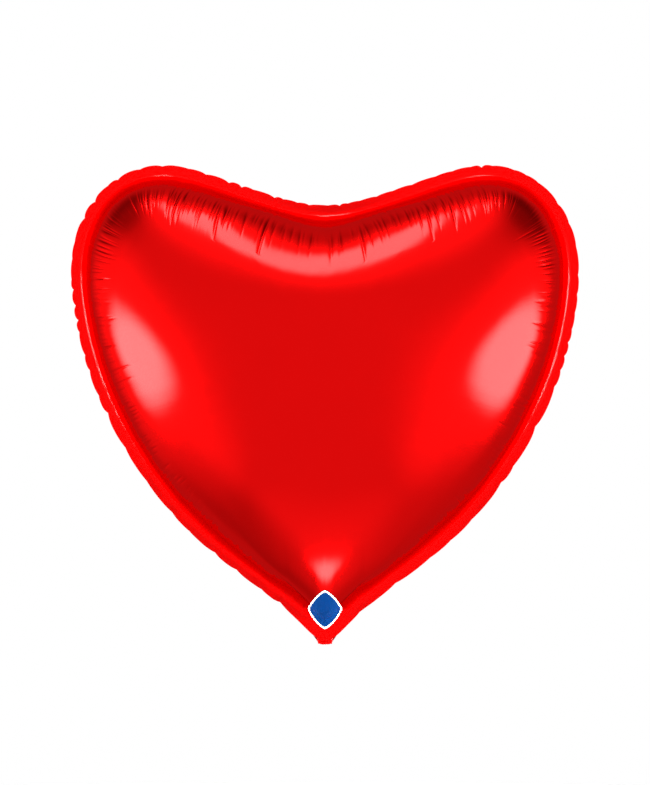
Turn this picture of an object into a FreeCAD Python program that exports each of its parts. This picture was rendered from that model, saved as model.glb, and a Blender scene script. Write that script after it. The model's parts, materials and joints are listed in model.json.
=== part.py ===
"""Heart-shaped foil balloon, filled, with its inflation tail folded up behind the tip.

Two heart-shaped films are sealed to each other round the rim, and a flat two-ply valve runs from
the tail, through the seal at the tip, into the inside. Millimetres, +Z up, front towards -Y. The
origin is the middle of the crease where the tail folds, at the bottom of the heart. The tail is
built as it hangs, straight down, and then turned up behind the heart. Its end has two lips that
part to let an inflation nozzle in between the valve plies.
"""

import FreeCAD
import Part

import math
import os

Vector = FreeCAD.Vector
ORIGIN = Vector(0, 0, 0)
X_AXIS = Vector(1, 0, 0)
Y_AXIS = Vector(0, 1, 0)

# Overall form
HALF_DEPTH = 96.0  # seam plane to the crown of either panel
FLANGE = 8.0  # width of the flat sealed rim
FILM = 0.4  # thickness of a panel, standing in for a film of about 0.03
SEAL = 0.6  # thickness of the seal between the two flanges
TIP_Z = 1.6  # height of the lowest point of the rim above the crease's axis

# Right half of the rim's outline, from the tip up and round to the cleft: x, height above the tip
HEART_HALF = [
    (0.0, 0.0),
    (6.0, 1.7),
    (13.0, 7.8),
    (24.0, 18.6),
    (52.0, 41.0),
    (99.0, 79.0),
    (142.0, 131.0),
    (173.0, 191.0),
    (187.5, 248.0),
    (189.5, 280.0),
    (179.5, 318.5),
    (150.0, 348.0),
    (120.0, 355.0),
    (87.5, 348.5),
    (44.0, 333.8),
    (0.0, 325.0),
]

# The panels' crowned shape: contours that go from the heart at the rim to an oval at the crown
CROWN_Z = 198.0  # height of the crown
OVAL_X = 0.96  # half width of the crown's oval over the heart's
OVAL_Z = 0.78  # half height of the crown's oval over the heart's
OVAL_POWER = 2.1  # how late towards the crown the heart has become the oval
SIZE_POWER = 0.92  # a contour's size is the cosine of its angle to this power
DEPTH_POWER = 0.98  # and its depth is the sine of the angle to this power
LAST_ANGLE = 84.0  # angle of the last contour, in degrees
CONTOURS = 9

# Valve
PLY = 0.2  # thickness of a valve ply
CHANNEL = 0.2  # gap between the two plies
VALVE_WIDTH = 10.0
VALVE_TOP = 95.0  # height of the valve's open end inside the balloon
VALVE_WELD = 0.8  # width of the weld along each edge of the valve
VALVE_PLAY = 0.05  # between the valve's edges and the seals beside it

# Neck
NECK_WIDTH = 12.0
NECK_TOP = 9.0  # height where the neck has run out into the heart
CREASE_R = 1.4  # radius of the crease that the tail folds about
CREASE_SEAT = 1.2  # height of the flat where the neck stands on the crease

# Tail, with its lengths measured down it from the crease's axis
TAIL_FILM = 0.3
TAIL_WIDTH = 18.0
TAIL_START = 1.65
FLARE_END = 12.0  # where the tail has its full width
VALVE_MOUTH = 34.0
SEALED_END = 36.0  # where the side seals end and the lips begin
LIP_GAP = 0.3  # crease between a tail film and its lip
TAIL_END = 45.0
LIP_CORNER_R = 3.0
NOTCH_R = 4.0  # thumb notch in the rear lip
FOLDED_ANGLE = 64.0  # between the folded tail and straight up, in degrees

THROUGH = 1.0  # how far a cutting tool runs past the sheet it cuts

TAIL_INNER = CHANNEL / 2 + PLY  # middle of the tail to the inner face of either film
TAIL_OUTER = TAIL_INNER + TAIL_FILM
SEAL_INNER = VALVE_WIDTH / 2 + VALVE_PLAY  # middle of the tail to its side seals


def save(name, shape):
    """Writes one sub-part and says what it is."""
    good = shape.isValid() and all(solid.isClosed() for solid in shape.Solids)
    print(name, len(shape.Solids), "solids", round(shape.Volume, 1), "mm3", "ok" if good else "BAD")
    shape.exportStep(f"parts/{name}.step")


def plate(corners, y0, y1):
    """A flat plate between y0 and y1 with the given corners, each an x and a z."""
    wire = Part.makePolygon([Vector(x, y0, z) for x, z in corners + corners[:1]])
    return Part.Face(wire).extrude(Vector(0, y1 - y0, 0))


def strip(x0, x1, y0, y1, z0, z1):
    return Part.makeBox(x1 - x0, y1 - y0, z1 - z0, Vector(x0, y0, z0))


def left(shape):
    """The matching piece on the other side of the middle."""
    return shape.mirror(ORIGIN, X_AXIS)


def rear(shape):
    """The matching piece on the other side of the seam plane."""
    return shape.mirror(ORIGIN, Y_AXIS)


# The heart


def heart_curve():
    """The rim's outline as one closed smooth curve in the seam plane."""
    right = [Vector(x, 0, z + TIP_Z) for x, z in HEART_HALF]
    left = [Vector(-p.x, 0, p.z) for p in reversed(right[1:-1])]
    curve = Part.BSplineCurve()
    curve.interpolate(Points=right + left, PeriodicFlag=True)
    return curve


def rim_points(heart, inset):
    """The heart's own points and those midway between them, moved inwards by inset."""
    knots = heart.getKnots()
    found = []
    for start, end in zip(knots, knots[1:]):
        for at in (start, (start + end) / 2):
            along = heart.tangent(at)[0]
            found.append(heart.value(at) + Vector(-along.z, 0, along.x) * inset)
    return found


def closed_wire(points):
    curve = Part.BSplineCurve()
    curve.interpolate(Points=points, PeriodicFlag=True)
    return Part.Wire([curve.toShape()])


def contour(rim, size, depth):
    """The contour at one depth in front of the seam plane, at size times the rim's own."""
    half_width = max(p.x for p in rim)
    half_height = (max(p.z for p in rim) - min(p.z for p in rim)) / 2
    heart_share = size**OVAL_POWER
    points = []
    for p in rim:
        out = Vector(p.x, 0, p.z - CROWN_Z)
        turn = math.atan2(out.z / half_height, out.x / half_width)
        oval_x = OVAL_X * half_width * math.cos(turn)
        oval_z = OVAL_Z * half_height * math.sin(turn)
        place = out * heart_share + Vector(oval_x, 0, oval_z) * (1 - heart_share)
        points.append(Vector(place.x * size, -depth, CROWN_Z + place.z * size))
    return closed_wire(points)


def crowned_solid(heart, inset, base, crown):
    """One half of the balloon as a solid, from depth base out to depth crown."""
    rim = rim_points(heart, inset)
    wires = []
    for i in range(CONTOURS):
        angle = math.radians(LAST_ANGLE * i / (CONTOURS - 1))
        size = math.cos(angle) ** SIZE_POWER
        depth = base + (crown - base) * math.sin(angle) ** DEPTH_POWER
        wires.append(contour(rim, size, depth))
    return Part.makeLoft(wires, True, False)


def heart_plate(heart, inset, y0, y1):
    """A flat plate between y0 and y1 with the heart's outline less inset."""
    face = Part.Face(closed_wire(rim_points(heart, inset)))
    solid = face.extrude(Vector(0, y1 - y0, 0))
    solid.translate(Vector(0, y0, 0))
    return solid


def neck_tab(y0, y1):
    return strip(-NECK_WIDTH / 2, NECK_WIDTH / 2, y0, y1, CREASE_SEAT, NECK_TOP)


def front_panel(heart):
    """The crowned front film with its half of the flange and of the neck."""
    base = SEAL / 2
    outer = crowned_solid(heart, FLANGE, base, HALF_DEPTH)
    inner = crowned_solid(heart, FLANGE + FILM, base, HALF_DEPTH - FILM)
    flange = heart_plate(heart, 0, -base - FILM, -base).fuse(neck_tab(-base - FILM, -base))
    below = heart_plate(heart, FLANGE + FILM, -base, -base + THROUGH)
    return outer.fuse(flange).cut(inner.fuse(below)).removeSplitter()


def rim_seal(heart):
    """The welded band between the two flanges, open where the valve comes through it."""
    half = SEAL / 2
    band = heart_plate(heart, 0, -half, half).fuse(neck_tab(-half, half))
    band = band.cut(heart_plate(heart, FLANGE, -half - THROUGH, half + THROUGH))
    top = TIP_Z + 2 * FLANGE
    return band.cut(strip(-SEAL_INNER, SEAL_INNER, -THROUGH, THROUGH, 0, top))


def neck_crease():
    """The gathered crease under the neck, with a flat that the neck stands on."""
    bead = Part.makeCylinder(CREASE_R, NECK_WIDTH, Vector(-NECK_WIDTH / 2, 0, 0), X_AXIS)
    top = CREASE_R + THROUGH
    return bead.cut(strip(-NECK_WIDTH, NECK_WIDTH, -CREASE_R, CREASE_R, CREASE_SEAT, top))


# The valve


def valve_ply(z0, z1):
    """The front ply of the valve between two heights."""
    return strip(-VALVE_WIDTH / 2, VALVE_WIDTH / 2, -CHANNEL / 2 - PLY, -CHANNEL / 2, z0, z1)


def valve_weld(z0, z1):
    """The weld that joins the two plies along their right edges."""
    edge = VALVE_WIDTH / 2
    return strip(edge - VALVE_WELD, edge, -CHANNEL / 2, CHANNEL / 2, z0, z1)


# The tail, hanging


def tail_film():
    """The front film of the tail, from the crease to its lip."""
    neck, full = NECK_WIDTH / 2, TAIL_WIDTH / 2
    edge = [(neck, -TAIL_START), (full, -FLARE_END), (full, -SEALED_END)]
    other_edge = [(-x, z) for x, z in reversed(edge)]
    return plate(edge + other_edge, -TAIL_OUTER, -TAIL_INNER)


def tail_seal():
    """The welded margin of the tail, on the right of the valve."""
    neck, full = NECK_WIDTH / 2, TAIL_WIDTH / 2
    margin = [
        (SEAL_INNER, -TAIL_START),
        (neck, -TAIL_START),
        (full, -FLARE_END),
        (full, -SEALED_END),
        (SEAL_INNER, -SEALED_END),
    ]
    return plate(margin, -TAIL_INNER, TAIL_INNER)


def front_lip():
    """The free end of the tail's front film, with its outer corners rounded."""
    half, top = TAIL_WIDTH / 2, -SEALED_END - LIP_GAP
    lip = strip(-half, half, -TAIL_OUTER, -TAIL_INNER, -TAIL_END, top)
    lower = [edge for edge in lip.Edges if edge.CenterOfMass.z < -TAIL_END + LIP_GAP]
    corners = [edge for edge in lower if abs(edge.CenterOfMass.x) > half - LIP_GAP]
    corners = [edge for edge in corners if edge.Length < 2 * TAIL_FILM]
    return lip.makeFillet(LIP_CORNER_R, corners)


def rear_lip():
    """The free end of the tail's rear film, with a thumb notch in its edge."""
    start = Vector(0, TAIL_INNER - THROUGH, -TAIL_END)
    notch = Part.makeCylinder(NOTCH_R, TAIL_FILM + 2 * THROUGH, start, Y_AXIS)
    return rear(front_lip()).cut(notch)


def folded(shape):
    """A piece of the hanging tail, turned up behind the heart about the crease."""
    turned = shape.copy()
    turned.rotate(ORIGIN, X_AXIS, 180 - FOLDED_ANGLE)
    return turned


def main():
    os.makedirs("parts", exist_ok=True)
    heart = heart_curve()
    front = front_panel(heart)
    inner_ply = valve_ply(CREASE_SEAT, VALVE_TOP)
    inner_weld = valve_weld(CREASE_SEAT, VALVE_TOP)
    tail_ply = valve_ply(-VALVE_MOUTH, -TAIL_START)
    tail_weld = valve_weld(-VALVE_MOUTH, -TAIL_START)

    save("front_panel", front)
    save("rear_panel", rear(front))
    save("rim_seal", rim_seal(heart))
    save("neck_crease", neck_crease())
    save("valve_front_ply", inner_ply)
    save("valve_rear_ply", rear(inner_ply))
    save("valve_right_weld", inner_weld)
    save("valve_left_weld", left(inner_weld))
    save("tail_front_film", folded(tail_film()))
    save("tail_rear_film", folded(rear(tail_film())))
    save("tail_right_seal", folded(tail_seal()))
    save("tail_left_seal", folded(left(tail_seal())))
    save("tail_valve_front_ply", folded(tail_ply))
    save("tail_valve_rear_ply", folded(rear(tail_ply)))
    save("tail_valve_right_weld", folded(tail_weld))
    save("tail_valve_left_weld", folded(left(tail_weld)))
    save("front_lip", folded(front_lip()))
    save("rear_lip", folded(rear_lip()))


main()
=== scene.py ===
import json
import math
from types import SimpleNamespace

import bpy
import numpy as np
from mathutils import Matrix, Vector, geometry, noise
from mathutils.bvhtree import BVHTree
from mathutils.kdtree import KDTree


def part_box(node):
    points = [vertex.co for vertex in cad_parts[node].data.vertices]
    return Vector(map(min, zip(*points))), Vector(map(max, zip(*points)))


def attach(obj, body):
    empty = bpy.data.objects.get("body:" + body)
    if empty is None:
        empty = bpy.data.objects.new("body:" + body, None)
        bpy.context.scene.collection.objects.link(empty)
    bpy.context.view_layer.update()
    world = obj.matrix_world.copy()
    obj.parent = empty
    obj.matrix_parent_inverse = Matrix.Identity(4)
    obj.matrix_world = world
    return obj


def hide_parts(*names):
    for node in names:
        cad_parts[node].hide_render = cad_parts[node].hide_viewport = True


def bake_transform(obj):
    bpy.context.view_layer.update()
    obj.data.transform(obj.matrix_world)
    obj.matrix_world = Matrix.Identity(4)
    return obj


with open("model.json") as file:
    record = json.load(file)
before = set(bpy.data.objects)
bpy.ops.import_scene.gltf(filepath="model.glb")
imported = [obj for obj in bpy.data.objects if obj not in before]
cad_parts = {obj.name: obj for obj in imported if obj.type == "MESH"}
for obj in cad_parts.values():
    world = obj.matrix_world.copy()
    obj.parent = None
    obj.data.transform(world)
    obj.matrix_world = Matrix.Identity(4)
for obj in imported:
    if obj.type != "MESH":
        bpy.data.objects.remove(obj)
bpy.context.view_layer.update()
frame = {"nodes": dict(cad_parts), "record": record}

MM = 0.001

# Inflating the two flat films
RINGS = 20  # rings of the coarse film that is inflated
SECTORS = 5  # each ring has this many more points than the one inside it
STIFFNESS = 30000.0  # of the film, N/m
PRESSURE = 2500.0  # of the gas, Pa
POISSON = 0.3
SLACK = 0.0015  # stiffness left in a direction that has gone slack
GROW = 45 * MM  # first guess of how much further out the flat cut reaches than the filled rim
PASSES = (3000, 1500, 1500, 1500)  # steps of each pass that corrects the flat cut
CENTRE_ABOVE = 28 * MM  # how far the rings' centre lies above the middle of the height
FIRST_BULGE = 50 * MM  # depth of the film that the simulation starts from
HEAVIER = 2.2  # mass of a point over the least that stays stable in a step of 1
SPEED_KEPT = 0.997  # share of the speed that a step keeps
SPEED_BRAKED = 0.6  # and that is left when the film has passed its rest
CROSS_SLACK = 0.3  # slack stiffness across the pull, as a share of that along it

# The fine film
COLUMNS = 3000  # points round the rim
NEAR_ROWS = 24  # rows of the puckered border
NEAR = 66 * MM  # width of the puckered border, on the flat cut
NEAR_CLEFT = 34 * MM  # how much wider it is at the cleft
CLEFT_HALF = 110 * MM  # half width of the cleft where it is wider
NEAR_TIP = 8 * MM  # and its width at the tip
NEAR_OPENS = 0.6  # how fast it widens from the tip, in its width for each length along the rim
SPREAD_FROM = 24  # coarse points that place one fine point
SNAP = 70 * MM  # width over which the fine film is drawn to the frame's rim
INNER_ROWS = ((1500, 5), (750, 8), (375, 14))  # points round each row further in, and how many such rows
ROWS_CROWD = 1.5  # power by which the rows crowd towards the rim
CUT_REACH = 15  # points to either side that smooth the flat cut's edge
INWARD_REACH = 60  # and the directions in from it
# How far out the flange's rows lie, as shares of its width
FLANGE_ROWS = (1.0, 0.8, 0.6, 0.45, 0.32, 0.2, 0.1)
HALF_SEAM = 0.15 * MM  # middle of the seam to either film
VALVE_ROOM = 0.3 * MM  # how much more that is where the valve comes through the seam
VALVE_ROOM_OVER = 14 * MM  # distance from the tip over which it stays so
LIFT = 1.0 * MM  # how far the flange's inner edge stands off the seam
LIFTED = 0.45  # share of the flange that lifts
CRINKLED = 18 * MM  # how far in the film is dulled by the crinkles of the weld
SHOULDER = 7 * MM  # how far the film leans in where it leaves the flange
SHOULDER_OVER = 9 * MM  # and over what length
WELD_FILL = 0.9  # thickness of the weld between the flanges, as a share of the seam's
# The weld's rows, as shares of the flange's width and of the weld's half thickness
WELD_ROWS = ((1.0, -1.0), (1.004, 0.0), (1.0, 1.0), (0.5, 1.0), (0.5, -1.0))

# Puckers
LOBES_FROM = 0.5  # share of the height above which the rim is notched closely
NOTCHES_HIGH = (8 * MM, 24 * MM)  # spacing of the rim's notches on the lobes
NOTCHES_LOW = (18 * MM, 45 * MM)  # and lower down
BUNCH = 20 * MM  # length of rim beside a lower notch where the creases are close together
NOTCH = (0.4 * MM, 2.0 * MM)  # how far the rim is drawn in at a notch
WAVE = 0.5 * MM  # how far the flange waves forwards and back
CALM = 16 * MM  # height above the tip where the puckers begin
TAUT = (130 * MM, 210 * MM)  # heights above the tip between which the film goes from taut to puckered
TAUT_SHARE = 0.25  # how deep the fine creases are on the taut part, as a share of the rest
# Fine and long waves: how strong, and the least and greatest spacing of their bends
WAVES = ((0.4, 6 * MM, 12 * MM), (0.8, 25 * MM, 60 * MM))
WAVE_MOST = 1.6  # greatest wave, in times WAVE
WAVE_INSIDE = 0.4  # share of the wave that is left at the flange's inner edge
RIM_SEED = 7
RIM_REACH = 6  # points to either side that smooth the rim's edge
OUTWARD_REACH = 14  # and the directions out from it
FINE_SPACING = (2.2 * MM, 5.2 * MM)
BUNCH_SPACING = (2 * MM, 3 * MM)
ONE_IN = 6  # of the fine creases, one in so many is deepened
# Creases by kind: least and greatest width, reach as a share of the puckered border, and depth
FINE = ((0.9 * MM, 1.7 * MM), (0.66, 0.9), (0.35 * MM, 0.75 * MM))
DEEPENED = ((1.2 * MM, 2.2 * MM), (0.78, 1.05), (0.4 * MM, 1.0 * MM))
AT_NOTCH = ((1.4 * MM, 2.8 * MM), (0.3, 0.7), (0.3 * MM, 0.9 * MM))
BUNCHED = ((1.0 * MM, 1.6 * MM), (0.7, 0.92), (0.8 * MM, 1.4 * MM))
LEAN = 0.06  # how far a crease leans along the rim, at most, for each length in
NARROWS = 0.55  # share of its width that a crease loses towards its far end
OPENS = 1.35  # how soon it is fully deep, where 1 is at its far end
SUNK_OVER = 4 * MM  # length over which the creases begin beside the flange
WAVED_OVER = 14 * MM  # length over which the film takes the flange's waves up
AT_RIM = 0.14  # how deep a crease is at the rim, as a share of its greatest depth
LOBE_RISES = 52  # direction the rim faces, above level, where a lobe is smoothest, in degrees
LOBE_SPAN = 28
SMOOTH_LOBE = 0.65  # how much shallower the creases are there

# Neck and tail, with lengths measured from the crease's axis
NECK_TOP = 9.5 * MM
NECK_PINCH = 0.88  # width of the neck at the crease, as a share of its width at the top
CREASE_R = 1.3 * MM
NECK_PLY = 0.5 * MM  # middle of the neck to either side of it
NECK_THICKENS = 0.35 * MM  # how much more that is at the crease
NECK_END = 1.2 * MM  # height at which the plies meet the rolled crease
NECK_COLUMNS = 49
ROLL = (145, 395)  # where the rolled crease starts and ends round its axis, in degrees
PLEAT = 1.1 * MM  # size of a pleat
PLEAT_DEEP = 0.35 * MM  # depth of the pleats in the plies
PLEAT_ROLL = 0.3 * MM  # and in the rolled crease
TAIL_START = 1.2 * MM
FLARE_END = 12 * MM
SEALED_END = 36.15 * MM
TAIL_END = 45 * MM
LIP_CORNER = 3 * MM
NOTCH_R = 4 * MM
VALVE_HALF = 5 * MM
OVER_VALVE = 0.42 * MM  # middle of the tail to either film over the valve
AT_MARGIN = 0.12 * MM  # and at the welded margins
MARGIN_EASE = 0.8 * MM  # width over which the one goes into the other
LIP_EASE = 2 * MM  # length over which the margins come apart past the seals
FILM = 0.04 * MM  # thickness of the tail's film
TAIL_COLUMNS = 73
TAIL_ROWS = 100
CRUMPLE = 0.12 * MM  # depth of the tail's crumples
CRUMPLE_LARGE = (5 * MM, 4 * MM)  # size of a large crumple across and along the tail
CRUMPLE_SMALL = (1.8 * MM, 1.5 * MM)

# Printed mark
MARK_Z = 26 * MM  # height of its middle above the crease
MARK_HALF = (12.5 * MM, 15.5 * MM)
MARK_POWER = 1.35  # 1 is a diamond and 2 an oval
MARK_EDGE = 0.1  # width of its white border, as a share of its half width
MARK_RINGS = 20
MARK_POINTS = 120  # round each ring
PROUD = 0.45 * MM  # how far the ink stands off the film


def positions(mesh):
    """A mesh's points as an array with a row for each."""
    co = np.zeros(len(mesh.vertices) * 3)
    mesh.vertices.foreach_get("co", co)
    return co.reshape(-1, 3)


def periodic(values, at):
    """Values given evenly round a closed line, read smoothly at places from 0 to 1."""
    count = len(values)
    place = np.mod(at, 1.0) * count
    i = np.floor(place).astype(int)
    f = (place - i).reshape((-1,) + (1,) * (values.ndim - 1))
    before, here, after, beyond = (values[(i + k) % count] for k in (-1, 0, 1, 2))
    slope, next_slope = (after - before) / 2, (beyond - here) / 2
    gap = after - here
    square, cube = 3 * gap - 2 * slope - next_slope, slope + next_slope - 2 * gap
    return here + f * slope + f**2 * square + f**3 * cube


def evenly(loop, count):
    """A closed loop of points, as count points evenly spaced along it."""
    closed = np.vstack([loop, loop[:1]])
    run = np.concatenate([[0], np.cumsum(np.linalg.norm(np.diff(closed, axis=0), axis=1))])
    at = np.arange(count) / count * run[-1]
    return np.stack([np.interp(at, run, closed[:, k]) for k in range(closed.shape[1])], axis=1)


def smoothed(loop, reach):
    """A closed loop whose every point is averaged, twice, with that many on either side."""
    for _ in range(2):
        wrapped = np.vstack([loop[-reach:], loop, loop[:reach]])
        run = np.cumsum(np.vstack([np.zeros((1, loop.shape[1])), wrapped]), axis=0)
        loop = (run[2 * reach + 1 :] - run[: -2 * reach - 1]) / (2 * reach + 1)
    return loop


def eased(share):
    """From 0 to 1 with a smooth start and end."""
    return share * share * (3 - 2 * share)


def normals_inward(loop):
    """At each point of a closed loop, the direction square to it and to its inner side."""
    along = np.roll(loop, -1, 0) - np.roll(loop, 1, 0)
    along /= np.linalg.norm(along, axis=1)[:, None]
    return np.stack([-along[:, 1], along[:, 0]], axis=1)


# The rim, read from the frame


def flange_edges():
    """The outer and inner edges of the front panel's flat flange, as loops of (x, z) from the tip."""
    mesh = frame["nodes"]["front_panel"].data
    co = positions(mesh)
    keys = [tuple(np.round(p / MM, 3)) for p in co]
    count = {}
    for face in mesh.polygons:
        on_flange = face.normal.y < -0.999 and face.center.y > -1 * MM
        if on_flange:
            ring = [keys[v] for v in face.vertices]
            for a, b in zip(ring, ring[1:] + ring[:1]):
                edge = frozenset((a, b))
                count[edge] = count.get(edge, 0) + 1
    beside = {}
    for edge, used in count.items():
        if used == 1 and len(edge) == 2:
            a, b = edge
            beside.setdefault(a, []).append(b)
            beside.setdefault(b, []).append(a)
    loops = []
    while beside:
        start = min(beside, key=lambda p: (p[2], p[0]))
        loop, here = [start], max(beside[start], key=lambda p: p[0])
        while here != start:
            loop.append(here)
            here = next(p for p in beside[here] if p != loop[-2])
        for p in loop:
            beside.pop(p)
        loops.append(np.array([(p[0], p[2]) for p in loop]) * MM)
    return sorted(loops, key=lambda loop: -np.ptp(loop[:, 0]))


# Inflating


def disc():
    """Points of a unit disc in rings, as (ring, place round it from 0 to 1), and their triangles."""
    spots = [(0, 0.0)]
    for ring in range(1, RINGS + 1):
        spots += [(ring, k / (SECTORS * ring)) for k in range(SECTORS * ring)]
    flat = [Vector((r * math.sin(2 * math.pi * t), -r * math.cos(2 * math.pi * t))) for r, t in spots]
    faces = geometry.delaunay_2d_cdt(flat, [], [], 0, 1e-6)[2]
    return np.array(spots), np.array(faces)


def laid_out(spots, outline, centre):
    """The disc's points on the flat cut with that outline."""
    edge = periodic(outline, spots[:, 1])
    return centre + (spots[:, :1] / RINGS) * (edge - centre)


def inflate(flat, faces, rim, start, steps):
    """Lets the front film settle under pressure, with its rim kept in the seam plane.

    A film can't be pushed together: where it would be, it goes slack and puckers instead.
    """
    one, two = flat[faces[:, 1]] - flat[faces[:, 0]], flat[faces[:, 2]] - flat[faces[:, 0]]
    det = one[:, 0] * two[:, 1] - one[:, 1] * two[:, 0]
    area = det / 2
    to_flat = np.stack([np.stack([two[:, 1], -two[:, 0]], 1), np.stack([-one[:, 1], one[:, 0]], 1)], 1)
    to_flat /= det[:, None, None]
    longest = np.maximum.reduce([(one**2).sum(1), (two**2).sum(1), ((two - one) ** 2).sum(1)])
    plane_stiffness = STIFFNESS / (1 - POISSON**2)
    heavy = plane_stiffness * longest / (4 * area) * HEAVIER
    corners = faces.ravel()
    mass = np.bincount(corners, np.repeat(heavy, 3), len(flat))[:, None]
    free = np.ones((len(flat), 3))
    free[rim, 1] = 0
    place, speed, last = start.copy(), np.zeros_like(start), 0.0
    for step in range(steps):
        a, b, c = (place[faces[:, k]] for k in range(3))
        sides = np.stack([b - a, c - a], 2)
        bent = sides @ to_flat
        c00, c11 = (bent[:, :, 0] ** 2).sum(1), (bent[:, :, 1] ** 2).sum(1)
        c01 = (bent[:, :, 0] * bent[:, :, 1]).sum(1)
        mean, half = (c00 + c11) / 2, (c00 - c11) / 2
        reach = np.hypot(half, c01)
        long, short = np.sqrt(mean + reach), np.sqrt(np.maximum(mean - reach, 1e-12))
        turn = np.arctan2(c01, half) / 2
        cos, sin = np.cos(turn), np.sin(turn)
        pull, cross = long - 1, short - 1
        taut = (cross > -POISSON * pull) & (pull > 0)
        first = np.where(taut, plane_stiffness * (pull + POISSON * cross), STIFFNESS * np.maximum(pull, 0))
        second = np.where(taut, np.maximum(plane_stiffness * (cross + POISSON * pull), 0), 0)
        first += np.where(pull < 0, SLACK * STIFFNESS * pull, 0)
        second += np.where(cross < 0, CROSS_SLACK * SLACK * STIFFNESS * cross, 0)
        first, second = first / long, second / short
        s00, s11 = first * cos**2 + second * sin**2, first * sin**2 + second * cos**2
        s01 = (first - second) * cos * sin
        stress = np.stack(
            [
                bent[:, :, 0] * s00[:, None] + bent[:, :, 1] * s01[:, None],
                bent[:, :, 0] * s01[:, None] + bent[:, :, 1] * s11[:, None],
            ],
            2,
        )
        pulls = -area[:, None, None] * (stress @ to_flat.transpose(0, 2, 1))
        push = np.cross(sides[:, :, 0], sides[:, :, 1]) * (PRESSURE / 6)
        f1, f2 = pulls[:, :, 0], pulls[:, :, 1]
        force = np.stack([push - f1 - f2, push + f1, push + f2], 1).reshape(-1, 3)
        force = np.stack([np.bincount(corners, force[:, k], len(flat)) for k in range(3)], 1) * free
        speed = speed * SPEED_KEPT + force / mass
        energy = (mass * speed**2).sum()
        if energy < last:
            speed *= SPEED_BRAKED
            energy = 0.0
        last = energy
        place = place + speed
    return place


def filled_film(bag):
    """The coarse film once filled: its flat outline, flat points and places in space.

    The flat cut is corrected until the filled rim lies on the frame's.
    """
    spots, faces = disc()
    rim = np.nonzero(spots[:, 0] == RINGS)[0]
    target = evenly(bag, len(rim))
    centre = np.array([0.0, (bag[:, 1].min() + bag[:, 1].max()) / 2 + CENTRE_ABOVE])
    outline = target - normals_inward(target) * GROW
    shape = None
    for steps in PASSES:
        flat = laid_out(spots, outline, centre)
        if shape is None:
            bulge = np.sqrt(1 - (spots[:, 0] / RINGS) ** 2) * FIRST_BULGE
            shape = np.stack([flat[:, 0], -bulge, flat[:, 1]], 1)
        one, two = flat[faces[:, 1]] - flat[faces[:, 0]], flat[faces[:, 2]] - flat[faces[:, 0]]
        wrong = one[:, 0] * two[:, 1] - one[:, 1] * two[:, 0] < 0
        faces[wrong] = faces[wrong][:, [0, 2, 1]]
        shape = inflate(flat, faces, rim, shape, steps)
        error = target - shape[rim][:, [0, 2]]
        last_outline = outline
        outline = outline + (np.roll(error, 1, 0) + 2 * error + np.roll(error, -1, 0)) / 4
    return last_outline, centre, flat, shape


# The fine film


def fine_rows(outline, centre):
    """Flat points of the fine film as rings from the rim in, and how far in those of the first rows are."""
    edge = evenly(smoothed(periodic(outline, np.arange(COLUMNS) / COLUMNS), CUT_REACH), COLUMNS)
    inward = smoothed(normals_inward(edge), INWARD_REACH)
    inward /= np.linalg.norm(inward, axis=1)[:, None]
    full = NEAR + NEAR_CLEFT * np.exp(-((edge[:, 0] / CLEFT_HALF) ** 2)) * (edge[:, 1] > centre[1])
    from_tip = np.linalg.norm(edge - edge[0], axis=1)
    width = NEAR_TIP + (full - NEAR_TIP) * (1 - np.exp(-from_tip / (full - NEAR_TIP) * NEAR_OPENS))
    depths = (np.arange(NEAR_ROWS + 1) / NEAR_ROWS)[:, None] ** ROWS_CROWD * width[None]
    rings = [edge + depth[:, None] * inward for depth in depths]
    last = rings[-1]
    rows = sum(count for _, count in INNER_ROWS)
    row = 0
    for columns, count in INNER_ROWS:
        around = last[:: COLUMNS // columns]
        for _ in range(count):
            row += 1
            rings.append(centre + (1 - row / (rows + 1)) * (around - centre))
    rings.append(centre[None])
    return rings, depths


def between(outer, inner, first_outer, first_inner):
    """Faces between one ring and the next one in, which has as many points, half as many, or one."""
    i = np.arange(outer)
    if inner == outer:
        j = (i + 1) % outer
        return np.stack([first_outer + i, first_outer + j, first_inner + j, first_inner + i], 1).tolist()
    if inner == 1:
        return [(first_outer + a, first_outer + (a + 1) % outer, first_inner) for a in i.tolist()]
    faces = []
    for k in range(inner):
        a, b, c = (first_outer + (2 * k + m) % outer for m in range(3))
        d, e = first_inner + k, first_inner + (k + 1) % inner
        faces += [(a, b, d), (b, e, d), (b, c, e)]
    return faces


def film_faces(rings):
    """Faces of a film given as rings from the rim in."""
    faces, first = [], 0
    for outer, inner in zip(rings, rings[1:]):
        faces += between(len(outer), len(inner), first, first + len(outer))
        first += len(outer)
    return faces


def placed(points, flat, shape):
    """Where flat points lie on the filled film: a smooth local fit to the coarse film's points."""
    tree = KDTree(len(flat))
    for i, p in enumerate(flat):
        tree.insert((p[0], p[1], 0), i)
    tree.balance()
    near = [tree.find_n((p[0], p[1], 0), SPREAD_FROM) for p in points]
    index = np.array([[hit[1] for hit in hits] for hits in near])
    reach = np.array([hits[-1][2] for hits in near])[:, None]
    off = (flat[index] - points[:, None]) / reach[:, :, None]
    weight = np.clip(1 - (off**2).sum(2), 0, 1) ** 2
    x, z = off[:, :, 0], off[:, :, 1]
    terms = np.stack([np.ones_like(x), x, z, x * x, x * z, z * z], 2)
    left = np.einsum("pki,pk,pkj->pij", terms, weight, terms) + 1e-9 * np.eye(6)
    right = np.einsum("pki,pk,pkd->pid", terms, weight, shape[index])
    return np.linalg.solve(left, right)[:, 0]


def new_mesh(name, points, faces):
    """A new smooth-shaded object in the scene."""
    mesh = bpy.data.meshes.new(name)
    mesh.from_pydata(points, [], faces)
    mesh.validate()
    mesh.polygons.foreach_set("use_smooth", [True] * len(mesh.polygons))
    piece = bpy.data.objects.new(name, mesh)
    bpy.context.scene.collection.objects.link(piece)
    return piece


# Puckers


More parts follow.
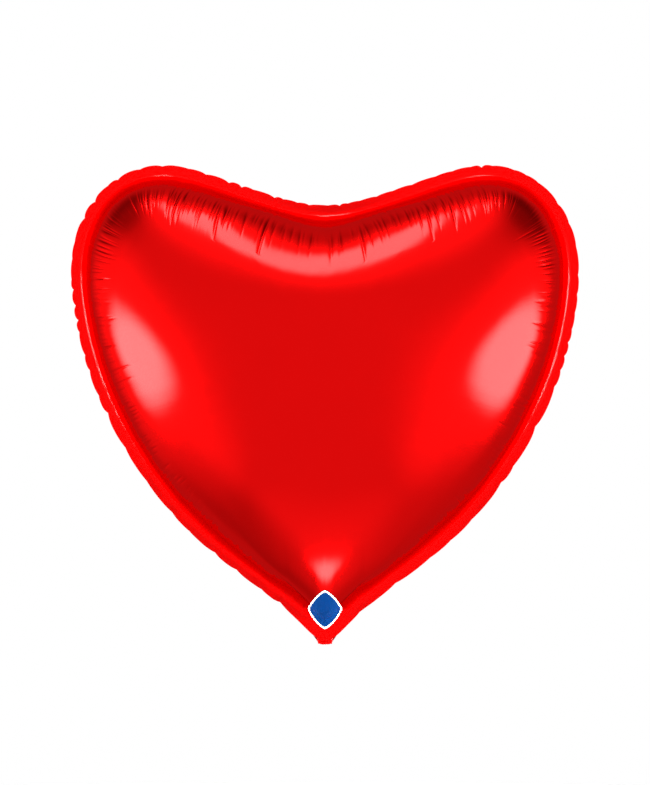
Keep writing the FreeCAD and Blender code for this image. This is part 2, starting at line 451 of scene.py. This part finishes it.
def spaced(rng, length, low, high):
    """Places along a line of that length, unevenly spaced."""
    places = np.cumsum(rng.uniform(low, high, int(length / low)))
    return places[places < length]


def notches(rng, arc, height):
    """Places where the rim is notched: close together on the lobes and far apart lower down."""
    found, at = [], 0.0
    while at < arc[-1] - NOTCHES_HIGH[0]:
        found.append(at)
        high = np.interp(at, arc[:-1], height) > LOBES_FROM
        at += rng.uniform(*(NOTCHES_HIGH if high else NOTCHES_LOW))
    return np.array(found[1:])


def drawn_in(rng, arc, cuts):
    """How far the rim's edge is drawn in along it: most at the notches, nothing midway between two."""
    ends = np.concatenate([[0.0], cuts, [arc[-1]]])
    most = NOTCH[0] + (NOTCH[1] - NOTCH[0]) * rng.uniform(size=len(ends)) ** 2
    i = np.clip(np.searchsorted(ends, arc[:-1], "right") - 1, 0, len(ends) - 2)
    share = (arc[:-1] - ends[i]) / (ends[i + 1] - ends[i])
    deep = np.where(share < 0.5, most[i], most[i + 1])
    return deep * np.abs(2 * share - 1) ** 2.5


def wander(rng, arc, low, high):
    """A smooth random line round the rim, with its bends spaced between low and high."""
    knots = np.concatenate([[0.0], spaced(rng, arc[-1] - high, low, high)])
    place = np.interp(arc[:-1], np.append(knots, arc[-1]), np.arange(len(knots) + 1))
    return periodic(rng.normal(size=len(knots)), place / len(knots))


def creases(rng, rim, depths, places, width, reach, deep):
    """How far the film is drawn in by narrow creases that run in from the rim at those places and taper out.

    How far in they reach is a share of the puckered border's width.
    """
    field = np.zeros(depths.shape)
    step = rim.arc[-1] / COLUMNS
    for place in places:
        wide, share_in, much = (rng.uniform(*span) for span in (width, reach, deep))
        long = share_in * depths[-1, int(place / step) % COLUMNS]
        lean = rng.uniform(-LEAN, LEAN)
        side = 5 * wide + abs(lean) * long
        columns = np.arange(int((place - side) / step), int((place + side) / step) + 2)
        around = columns % COLUMNS
        share = np.clip(1 - depths[:, around] / long, 0, 1)
        across = (columns * step - place)[None] - lean * depths[:, around]
        across = across / (wide * (1 - NARROWS + NARROWS * share**0.5))
        opened = AT_RIM + (1 - AT_RIM) * np.clip(OPENS * (1 - share), 0, 1) ** 2.2
        field[:, around] -= much * opened * share**0.5 / (1 + across**2) ** 1.5
    return field


# The heart


def puckered_rim(flat_edge, bag, outer):
    """What runs along the rim: its length, its edge in space, and how it is notched and waved there."""
    rng = np.random.default_rng(RIM_SEED)
    lengths = np.linalg.norm(np.roll(flat_edge, -1, 0) - flat_edge, axis=1)
    arc = np.concatenate([[0.0], np.cumsum(lengths)])
    edge = evenly(smoothed(evenly(bag, COLUMNS), RIM_REACH), COLUMNS)
    outward = -smoothed(normals_inward(edge), OUTWARD_REACH)
    outward /= np.linalg.norm(outward, axis=1)[:, None]
    above_tip = edge[:, 1] - edge[:, 1].min()
    height = above_tip / above_tip.max()
    calm = np.clip((above_tip - CALM / 2) / CALM, 0, 1)
    cuts = notches(rng, arc, height)
    wave = sum(share * wander(rng, arc, low, high) for share, low, high in WAVES)
    rises = np.degrees(np.arctan2(outward[:, 1], outward[:, 0] * np.sign(edge[:, 0] + 1e-9)))
    by_valve = np.clip(2 - np.linalg.norm(edge - edge[0], axis=1) / VALVE_ROOM_OVER, 0, 1)
    return SimpleNamespace(
        arc=arc,
        edge=edge,
        outward=outward,
        width=(np.ptp(outer[:, 0]) - np.ptp(bag[:, 0])) / 2,
        cuts=cuts,
        low_cuts=cuts[np.interp(cuts, arc[:-1], height) < LOBES_FROM],
        calm=calm,
        loose=TAUT_SHARE + (1 - TAUT_SHARE) * np.clip((above_tip - TAUT[0]) / (TAUT[1] - TAUT[0]), 0, 1),
        tight=1 - SMOOTH_LOBE * np.exp(-(((rises - LOBE_RISES) / LOBE_SPAN) ** 2)),
        drawn=drawn_in(rng, arc, cuts) * calm,
        wave=WAVE * np.clip(wave, -WAVE_MOST, WAVE_MOST) * calm,
        half=HALF_SEAM + VALVE_ROOM * eased(by_valve),
        lift=LIFT * (0.25 + 0.75 * calm),
    )


def normals_of(points, faces):
    """The directions square to a film at its points."""
    piece = new_mesh("trial", points.tolist(), faces)
    normal = np.zeros(len(points) * 3)
    piece.data.vertices.foreach_get("normal", normal)
    bpy.data.objects.remove(piece)
    return normal.reshape(-1, 3)


def pucker_depth(rng, rim, depths):
    """How far the film is drawn in at each point of its puckered border."""
    fine = spaced(rng, rim.arc[-1], *FINE_SPACING)
    some = rng.choice(fine, len(fine) // ONE_IN, replace=False)
    field = creases(rng, rim, depths, fine, *FINE)
    field += creases(rng, rim, depths, some, *DEEPENED)
    field *= rim.loose[None]
    field += creases(rng, rim, depths, rim.cuts, *AT_NOTCH)
    bunched = np.concatenate([place + spaced(rng, BUNCH, *BUNCH_SPACING) for place in rim.low_cuts])
    field += creases(rng, rim, depths, bunched, *BUNCHED)
    return field * (rim.calm * rim.tight)[None]


def flat_rows(rim, side):
    """The flange's points in rows from its outer edge in."""
    rows = []
    for out in FLANGE_ROWS:
        place = rim.edge + rim.outward * ((rim.width - rim.drawn) * out)[:, None]
        lifted = rim.lift * max(1 - out / LIFTED, 0) ** 2
        y = side * rim.wave * (WAVE_INSIDE + (1 - WAVE_INSIDE) * out) - rim.half - lifted
        rows.append(np.stack([place[:, 0], y, place[:, 1]], 1))
    return rows


def film(name, side, seed, base, faces, depths, rim):
    """One filled film with its flange and its own puckers. side is 1 at the front and -1 at the rear."""
    rng = np.random.default_rng(seed)
    near = depths.size
    points = base.copy()
    field = pucker_depth(rng, rim, depths).reshape(-1, 1)
    rise = np.clip(depths / SUNK_OVER, 0, 1).reshape(-1, 1)
    points[:near] += field * rise * normals_of(base, faces)[:near]
    fade = np.clip(1 - depths / WAVED_OVER, 0, 1) ** 2
    points[:near, 1] += side * (WAVE_INSIDE * fade * rim.wave[None]).ravel()
    points = np.vstack(flat_rows(rim, side) + [points])
    points[:, 1] *= side

    first = len(FLANGE_ROWS) * COLUMNS
    all_faces = [tuple(corner + first for corner in face) for face in faces]
    for row in range(len(FLANGE_ROWS)):
        all_faces += between(COLUMNS, COLUMNS, row * COLUMNS, (row + 1) * COLUMNS)
    if side < 0:
        all_faces = [tuple(reversed(face)) for face in all_faces]
    piece = new_mesh(name, points.tolist(), all_faces)
    welded = np.zeros(len(points))
    welded[:first] = 1.0
    welded[first : first + near] = (np.clip(1 - depths / CRINKLED, 0, 1) ** 1.5).ravel()
    piece.data.attributes.new("welded", "FLOAT", "POINT").data.foreach_set("value", welded)
    return piece


def seam(rim):
    """The weld between the two flanges: a thin closed band that shows along the rim's edge."""
    rows = []
    thick = WELD_FILL * HALF_SEAM - 0.3 * (rim.half - HALF_SEAM) * HALF_SEAM / VALVE_ROOM
    for out, share in WELD_ROWS:
        place = rim.edge + rim.outward * ((rim.width - rim.drawn) * out)[:, None]
        y = rim.wave * (WAVE_INSIDE + (1 - WAVE_INSIDE) * out) + share * thick
        rows.append(np.stack([place[:, 0], y, place[:, 1]], 1))
    faces = []
    for k in range(len(rows)):
        faces += between(COLUMNS, COLUMNS, k * COLUMNS, (k + 1) % len(rows) * COLUMNS)
    return new_mesh("rim_weld", np.vstack(rows).tolist(), faces)


def heart():
    """Both filled films and the weld between their flanges, riding on the balloon."""
    outer, bag = flange_edges()
    outline, centre, flat, shape = filled_film(bag)
    rings, depths = fine_rows(outline, centre)
    base = placed(np.vstack(rings), flat, shape)
    faces = film_faces(rings)
    rim = puckered_rim(rings[0], bag, outer)
    wanted = np.stack([rim.edge[:, 0], -rim.half - rim.lift, rim.edge[:, 1]], 1)
    share = np.clip(1 - depths / SNAP, 0, 1) ** 1.5
    base[: depths.size] += (share[:, :, None] * (wanted - base[:COLUMNS])[None]).reshape(-1, 3)
    inset = SHOULDER * (1 - np.exp(-depths / SHOULDER_OVER)) * np.clip(1 - depths / SNAP, 0, 1) ** 2
    base[: depths.size, 0::2] -= (inset[:, :, None] * rim.outward[None]).reshape(-1, 2)

    cut = rings[0] - normals_inward(rings[0]) * rim.width
    pieces = []
    for name, side, seed, node, slot in (
        ("front_film", 1, 11, "front_panel", "red_film"),
        ("rear_film", -1, 13, "rear_panel", "rear_red_film"),
    ):
        piece = film(name, side, seed, base, faces, depths, rim)
        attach(piece, "balloon")
        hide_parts(node)
        pieces.append(piece)
    weld = seam(rim)
    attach(weld, "balloon")
    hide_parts("rim_seal")
    return (*pieces, weld)


# Neck and tail


def grid_faces(rows, columns, first=0):
    """Faces of a grid of points whose first one has that number."""
    faces = []
    for r in range(rows - 1):
        for c in range(columns - 1):
            a = first + r * columns + c
            faces.append((a, a + 1, a + columns + 1, a + columns))
    return faces


def half_width(node):
    low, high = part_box(node)
    return (high[0] - low[0]) / 2


def pinched(z):
    """How narrow the gathered neck is at that height, as a share of its width."""
    return NECK_PINCH + (1 - NECK_PINCH) * np.clip(z / NECK_TOP, 0, 1)


def neck():
    """The gathered strip from the front flange round the crease to the rear flange."""
    half = half_width("neck_crease")
    x = np.linspace(-half, half, NECK_COLUMNS)
    round_off = np.sqrt(1 - (np.abs(x) / (half * 1.08)) ** 2.5)
    pleats = np.array([noise.noise(Vector((v / PLEAT, 0.4, 0))) for v in x])

    def ply(side):
        """Rows of one ply from the top down. side is 1 at the front."""
        rows = []
        for z in np.linspace(NECK_TOP, NECK_END, 12):
            share = (NECK_TOP - z) / NECK_TOP
            closing = 1 - min(2 * share, 1) * np.abs(x / half) ** 8
            thick = NECK_PLY + share * (NECK_THICKENS + side * PLEAT_DEEP * pleats)
            rows.append((-side * closing * thick, np.full(NECK_COLUMNS, z)))
        return rows

    rows = ply(1)
    for turn in np.linspace(*ROLL, 26):
        swell = math.sin(math.radians((turn - ROLL[0]) / (ROLL[1] - ROLL[0]) * 180))
        radius = CREASE_R * round_off + PLEAT_ROLL * pleats * swell
        rows.append((radius * math.cos(math.radians(turn)), -radius * math.sin(math.radians(turn - 180))))
    rows += ply(-1)[::-1]
    points = np.vstack([np.stack([x * pinched(z), np.broadcast_to(y, x.shape), z], 1) for y, z in rows])
    piece = new_mesh("neck_fold", points.tolist(), grid_faces(len(rows), NECK_COLUMNS))
    piece.data.attributes.new("welded", "FLOAT", "POINT").data.foreach_set("value", np.ones(len(points)))
    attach(piece, "balloon")
    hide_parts("neck_crease")
    return piece


def crumpled(x, s, side):
    """Uneven heights of a crumpled film, with large and small crumples together."""

    def uneven(size, level):
        return np.array([noise.noise(Vector((a / size[0], b / size[1], level))) for a, b in zip(x, s)])

    return uneven(CRUMPLE_LARGE, side * 3.0) + 0.5 * uneven(CRUMPLE_SMALL, side * 5.0)


def tail_skin(name, side, nodes, along):
    """One film of the tail with its lip, red outside and silver inside. side is 1 at the front."""
    rows, across = TAIL_ROWS, TAIL_COLUMNS
    u = np.linspace(-1, 1, across)
    full, narrow = (half_width(node) for node in ("tail_front_film", "neck_crease"))
    x_end = u * full
    corner = np.clip(np.abs(x_end) - (full - LIP_CORNER), 0, LIP_CORNER)
    end = TAIL_END - LIP_CORNER + np.sqrt(LIP_CORNER**2 - corner**2)
    if side < 0:
        end = np.minimum(end, TAIL_END - np.sqrt(np.clip(NOTCH_R**2 - x_end**2, 0, None)))
    out = Vector((0, along.z, -along.y)) * side
    front, back = [], []
    for share in np.arange(rows) / (rows - 1):
        s = TAIL_START + share * (end - TAIL_START)
        flare = np.clip((s - TAIL_START) / (FLARE_END - TAIL_START), 0, 1)
        x = u * (narrow * NECK_PINCH + (full - narrow * NECK_PINCH) * flare)
        free = np.clip((s - SEALED_END) / LIP_EASE, 0, 1)
        inside = np.clip((VALVE_HALF + MARGIN_EASE - np.abs(x)) / MARGIN_EASE, 0, 1)
        loose = np.maximum(eased(inside), free)
        off = AT_MARGIN + (OVER_VALVE - AT_MARGIN) * loose + CRUMPLE * crumpled(x, s, side) * loose
        for layer, rows_of in ((0.0, front), (-FILM, back)):
            n = off + layer
            rows_of.append(np.stack([x, s * along.y + n * out.y, s * along.z + n * out.z], 1))
    points = np.vstack(front + back)
    outer_faces = grid_faces(rows, across)
    inner_faces = [tuple(reversed(face)) for face in grid_faces(rows, across, rows * across)]
    ring = list(range(across))
    ring += [r * across + across - 1 for r in range(1, rows)]
    ring += [(rows - 1) * across + c for c in range(across - 2, -1, -1)]
    ring += [r * across for r in range(rows - 2, 0, -1)]
    rim_faces = [(b, a, a + rows * across, b + rows * across) for a, b in zip(ring, ring[1:] + ring[:1])]
    faces = outer_faces + inner_faces + rim_faces
    if side < 0:
        faces = [tuple(reversed(face)) for face in faces]
    piece = new_mesh(name, points.tolist(), faces)
    for k in range(len(outer_faces), len(outer_faces) + len(inner_faces)):
        piece.data.polygons[k].material_index = 1
    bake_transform(piece)
    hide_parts(*nodes)
    return piece


def tail():
    """The tail's two films, whose margins come apart past the seals."""
    mouth = next(m for m in frame["record"]["mounts"] if m["name"] == "inflation_mouth")
    along = Vector(mouth["axis"]).normalized()
    front = ("tail_front_film", "front_lip", "tail_right_seal", "tail_left_seal")
    return (
        tail_skin("tail_front_skin", 1, front, along),
        tail_skin("tail_rear_skin", -1, ("tail_rear_film", "rear_lip"), along),
    )


# The printed mark


def mark(film_piece):
    """A plain rounded diamond with a pale border, printed on the front film above the tip."""
    co = positions(film_piece.data)
    tree = BVHTree.FromPolygons([tuple(p) for p in co], [tuple(f.vertices) for f in film_piece.data.polygons])
    turns = np.arange(MARK_POINTS) / MARK_POINTS * 2 * math.pi
    shares = [(1 - MARK_EDGE) * k / MARK_RINGS for k in range(1, MARK_RINGS + 1)] + [1.0]
    points, faces, white = [], [], []
    for share in shares:
        for turn in turns:
            c, s = math.cos(turn), math.sin(turn)
            size = (abs(c) ** MARK_POWER + abs(s) ** MARK_POWER) ** (-1 / MARK_POWER)
            x, z = MARK_HALF[0] * share * size * c, MARK_Z + MARK_HALF[1] * share * size * s
            points.append((x, z))
    points.append((0.0, MARK_Z))
    placed_points = []
    for x, z in points:
        hit, normal, _, _ = tree.ray_cast(Vector((x, -1, z)), Vector((0, 1, 0)))
        placed_points.append(hit - math.copysign(PROUD, normal.y) * normal)
    rings, count = len(shares), len(turns)
    for ring in range(rings - 1):
        for k in range(count):
            a, b = ring * count + k, ring * count + (k + 1) % count
            faces.append((a, b, b + count, a + count))
            white.append(ring == rings - 2)
    for k in range(count):
        faces.append((rings * count, (k + 1) % count, k))
        white.append(False)
    piece = new_mesh("printed_mark", placed_points, faces)
    for face, pale in zip(piece.data.polygons, white):
        face.material_index = int(pale)
    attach(piece, "balloon")
    return piece


# Materials

MOTTLE = 0.03  # how far the film's roughness varies either way
FILM_BUMP = 0.25  # strength of the bumps on the plain film
WELD_BUMP = 0.05  # and on the welded film


class Nodes:
    """A material or world's nodes, with each one's inputs given as numbers or as other nodes' outputs."""

    def __init__(self, owner):
        owner.use_nodes = True
        self.tree = owner.node_tree

    def __getitem__(self, name):
        return self.tree.nodes[name]

    def add(self, kind, *inputs, **settings):
        node = self.tree.nodes.new("ShaderNode" + kind)
        for name, value in settings.items():
            setattr(node, name, value)
        for socket, given in zip(node.inputs, inputs):
            self.feed(socket, given)
        return node

    def feed(self, socket, given):
        if isinstance(given, bpy.types.NodeSocket):
            self.tree.links.new(given, socket)
        else:
            socket.default_value = given

    def math(self, operation, *inputs):
        return self.add("Math", *inputs, operation=operation).outputs[0]

    def named(self, kind, given):
        """A node with its inputs given by their names."""
        node = self.add(kind)
        for name, value in given.items():
            self.feed(node.inputs[name], value)
        return node

    def noise(self, size, detail):
        """Noise with features of about that size, in metres."""
        place = self.add("TexCoord").outputs["Object"]
        return self.named("TexNoise", {"Vector": place, "Scale": 1 / size, "Detail": detail}).outputs["Fac"]

    def bump(self, height, strength, distance):
        given = {"Height": height, "Strength": strength, "Distance": distance}
        return self.named("Bump", given).outputs["Normal"]

    def spread(self, given, low, high):
        """A value from 0 to 1 spread between low and high."""
        return self.math("MULTIPLY_ADD", given, high - low, low)


def finish(name, settings):
    """A new material with constants set on its shader, and its nodes."""
    material = bpy.data.materials.new(name)
    nodes = Nodes(material)
    shader = nodes["Principled BSDF"]
    for socket, value in settings.items():
        shader.inputs[socket].default_value = value
    return material, nodes, shader


def coloured(nodes, shader, size, detail, dark, light):
    """Lets the base colour vary between two colours."""
    mix = nodes.add("Mix", data_type="RGBA")
    nodes.feed(mix.inputs["Factor"], nodes.noise(size, detail))
    nodes.feed(mix.inputs[6], (*dark, 1))
    nodes.feed(mix.inputs[7], (*light, 1))
    nodes.feed(shader.inputs["Base Color"], mix.outputs[2])


def foil(name, dark, light, roughness, weld_roughness):
    """Metallised film: a coloured mirror under a thin clear gloss, duller where it is welded."""
    settings = {
        "Metallic": 1.0,
        "Specular Tint": (1.0, 0.03, 0.03, 1.0),
        "Coat Weight": 0.02,
        "Coat IOR": 2.5,
        "Coat Roughness": 0.12,
    }
    material, nodes, shader = finish(name, settings)
    coloured(nodes, shader, 60 * MM, 3, dark, light)
    welded = nodes.add("Attribute", attribute_name="welded").outputs["Fac"]
    plain = nodes.math("ADD", nodes.spread(nodes.noise(9 * MM, 4), -MOTTLE, MOTTLE), roughness)
    duller = weld_roughness - roughness
    nodes.feed(shader.inputs["Roughness"], nodes.math("MULTIPLY_ADD", welded, duller, plain))
    skin = nodes.math("MULTIPLY_ADD", nodes.noise(1.4 * MM, 2), 0.12, nodes.noise(14 * MM, 3))
    strength = nodes.math("MULTIPLY_ADD", welded, WELD_BUMP - FILM_BUMP, FILM_BUMP)
    nodes.feed(shader.inputs["Normal"], nodes.bump(skin, strength, 0.15 * MM))
    return material


def mottled(name, settings, colour, rough, dents):
    """A material whose colour, roughness and surface vary.

    Each of the three starts with its noise's size and detail. Then come the two colours, the least and
    greatest roughness, and the dents' strength and depth.
    """
    material, nodes, shader = finish(name, settings)
    coloured(nodes, shader, *colour)
    size, detail, least, most = rough
    nodes.feed(shader.inputs["Roughness"], nodes.spread(nodes.noise(size, detail), least, most))
    size, detail, strength, depth = dents
    nodes.feed(shader.inputs["Normal"], nodes.bump(nodes.noise(size, detail), strength, depth))
    return material


def silver_side():
    return mottled(
        "silver_side",
        {"Metallic": 1.0, "Specular Tint": (1.0, 1.0, 1.0, 1.0)},
        (8 * MM, 3, (0.72, 0.72, 0.74), (0.85, 0.85, 0.86)),
        (5 * MM, 3, 0.2, 0.34),
        (2 * MM, 2, 0.3, 0.1 * MM),
    )


def milky_film():
    return mottled(
        "milky_film",
        {"IOR": 1.5, "Transmission Weight": 0.55, "Alpha": 0.8},
        (6 * MM, 3, (0.80, 0.80, 0.77), (0.92, 0.92, 0.90)),
        (4 * MM, 3, 0.25, 0.45),
        (2 * MM, 2, 0.3, 0.1 * MM),
    )


def ink(name, dark, light):
    """Printing ink over the foil: opaque and nearly matt."""
    return mottled(
        name,
        {"Metallic": 0.0, "IOR": 1.25, "Specular IOR Level": 0.1},
        (0.5 * MM, 3, dark, light),
        (2 * MM, 3, 0.55, 0.68),
        (1.2 * MM, 2, 0.1, 0.05 * MM),
    )


# Surroundings

# Light by direction: straight ahead of the balloon, then round to straight behind it
AROUND = ((-1.0, 0.85), (-0.6, 0.83), (0.0, 0.72), (0.5, 0.6), (1.0, 0.5))
# Patches of light: direction, the way across, half the width and height as tangents, softness, level
PATCHES = (
    ((-1, -0.1, -0.1), (0, 1, 0), 1.1, 0.7, 0.6, 0.5),
    ((0.95, -0.35, -0.1), (0, 1, 0), 0.9, 0.6, 0.6, 0.5),
    ((0, -0.2, 1), (1, 0, 0), 0.5, 0.6, 0.6, 0.5),
    ((0, -0.2, -1), (1, 0, 0), 0.5, 0.6, 0.6, 0.3),
    ((0.6, 0.12, 0.75), (0, 1, 0), 0.6, 0.6, 0.6, -0.5),
    ((-0.6, 0.15, 0.72), (0, 1, 0), 0.6, 0.6, 0.6, -0.42),
    ((-0.5, 0.05, -0.86), (0, 1, 0), 0.5, 0.6, 0.6, -0.22),
)
# Lamps, given in the same way: left, right, above and below
LAMPS = (
    ((-0.961, -0.196, -0.195), (0, 0.994, -0.11), 0.46, 0.215, 0.42, 60.0),
    ((0.955, -0.242, -0.173), (0, 0.988, -0.15), 0.54, 0.247, 0.3, 54.0),
    ((-0.045, -0.19, 0.98), (0.992, 0, 0.125), 0.1, 0.28, 0.35, 36.0),
    ((0.02, -0.23, -0.97), (0.97, 0, 0.22), 0.16, 0.12, 0.6, 48.0),
)
BESIDE = 0.02  # cosine under which a direction counts as beside a patch, not ahead
FLOOR_R = 2.6
FLOOR_SIDES = 64
FLOOR_BELOW = 0.35  # how far the floor lies below the neck
VIEW_HEIGHT = 0.6015  # height that the picture takes in at the rim
DISTANCE = 3.0
SENSOR = 36.0


def studio():
    """Soft light from all round with soft patches in it. A line of sight that misses everything meets white.

    The lamps are mirrored once only, so that the flange doesn't throw them on into the film beside it.
    """
    world = bpy.data.worlds.new("studio")
    bpy.context.scene.world = world
    nodes = Nodes(world)
    direction = nodes.add("TexCoord").outputs["Generated"]

    def towards(vector):
        return nodes.add("VectorMath", direction, vector, operation="DOT_PRODUCT").outputs["Value"]

    def patch(centre, across, wide, tall, soft, level):
        ahead = Vector(centre).normalized()
        right = (Vector(across) - ahead * ahead.dot(Vector(across))).normalized()
        front = towards(ahead)
        safe = nodes.math("MAXIMUM", front, BESIDE)
        sides = ((right, wide), (ahead.cross(right), tall))
        out = [nodes.math("DIVIDE", towards(axis / half), safe) for axis, half in sides]
        squares = [nodes.math("MULTIPLY", way, way) for way in out]
        off = nodes.math("SQRT", nodes.math("ADD", *squares))
        fade = nodes.add("MapRange", off, 1 - soft, 1 + soft, level, 0.0, interpolation_type="SMOOTHSTEP")
        return nodes.math("MULTIPLY", fade.outputs[0], nodes.math("GREATER_THAN", front, BESIDE))

    ramp = nodes.add("ValToRGB", nodes.math("MULTIPLY_ADD", towards((0, 1, 0)), 0.5, 0.5))
    ramp.color_ramp.interpolation = "EASE"
    for k, (place, level) in enumerate(AROUND):
        stop = ramp.color_ramp.elements[k] if k < 2 else ramp.color_ramp.elements.new((place + 1) / 2)
        stop.position = (place + 1) / 2
        stop.color = (level, level, level, 1)
    rays = nodes.add("LightPath").outputs
    seen = rays["Is Camera Ray"]
    # A ray sent straight to a lamp isn't a glossy ray, and its last mirroring isn't in its depth yet
    mirrored = nodes.math("ADD", rays["Glossy Depth"], nodes.math("SUBTRACT", 1.0, rays["Is Glossy Ray"]))
    once = nodes.math("LESS_THAN", mirrored, 1.5)
    light = ramp.outputs[0]
    for given in PATCHES:
        light = nodes.math("ADD", light, patch(*given))
    for given in LAMPS:
        light = nodes.math("MULTIPLY_ADD", patch(*given), once, light)
    hidden = nodes.math("SUBTRACT", 1.0, seen)
    nodes.feed(nodes["Background"].inputs["Color"], (1, 1, 1, 1))
    nodes.feed(nodes["Background"].inputs["Strength"], nodes.math("MULTIPLY_ADD", light, hidden, seen))


def floor():
    """A plain pale floor, well below the balloon, that the foil doesn't mirror."""
    turns = [k * 2 * math.pi / FLOOR_SIDES for k in range(FLOOR_SIDES)]
    ring = [(FLOOR_R * math.cos(turn), FLOOR_R * math.sin(turn), -FLOOR_BELOW) for turn in turns]
    piece = new_mesh("floor", ring, [tuple(range(FLOOR_SIDES))])
    material, nodes, shader = finish("pale_floor", {"Roughness": 0.9})
    nodes.feed(shader.inputs["Base Color"], (0.9, 0.9, 0.9, 1))
    piece.data.materials.append(material)
    piece.visible_glossy = False


def camera(aim):
    """A camera straight ahead of the balloon at the height of its middle."""
    data = bpy.data.cameras.new("camera")
    data.sensor_width = SENSOR
    data.lens = SENSOR * DISTANCE / VIEW_HEIGHT
    eye = bpy.data.objects.new("camera", data)
    eye.location = (aim.x, -DISTANCE, aim.z)
    eye.rotation_euler = (math.pi / 2, 0, 0)
    bpy.context.scene.collection.objects.link(eye)
    bpy.context.scene.camera = eye


def main():
    front_film, rear_film, weld = heart()
    folded_neck = neck()
    skins = tail()
    print_on_front = mark(front_film)

    red = foil("red_foil", (0.80, 0.0, 0.0), (0.86, 0.0, 0.0), 0.17, 0.52)
    rear_red = foil("rear_red_foil", (0.80, 0.0, 0.0), (0.86, 0.0, 0.0), 0.18, 0.52)
    welded_red = foil("welded_red_foil", (0.70, 0.0, 0.0), (0.78, 0.0, 0.0), 0.45, 0.5)
    silver, milky = silver_side(), milky_film()
    given = [(front_film, red), (rear_film, rear_red), (weld, welded_red), (folded_neck, red)]
    for skin in skins:
        given += [(skin, rear_red), (skin, silver)]
    given.append((print_on_front, ink("blue_ink", (0.0, 0.026, 0.13), (0.0, 0.032, 0.15))))
    given.append((print_on_front, ink("pale_ink", (0.85, 0.84, 0.83), (0.93, 0.92, 0.91))))
    for node, piece in frame["nodes"].items():
        piece.data.materials.clear()
        given.append((piece, milky if "valve" in node else welded_red if "seal" in node else red))
    for piece, material in given:
        piece.data.materials.append(material)

    low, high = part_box("front_panel")
    camera(Vector((0, 0, (low[2] + high[2]) / 2)))
    studio()
    floor()
    bpy.context.scene.view_settings.view_transform = "Standard"


main()
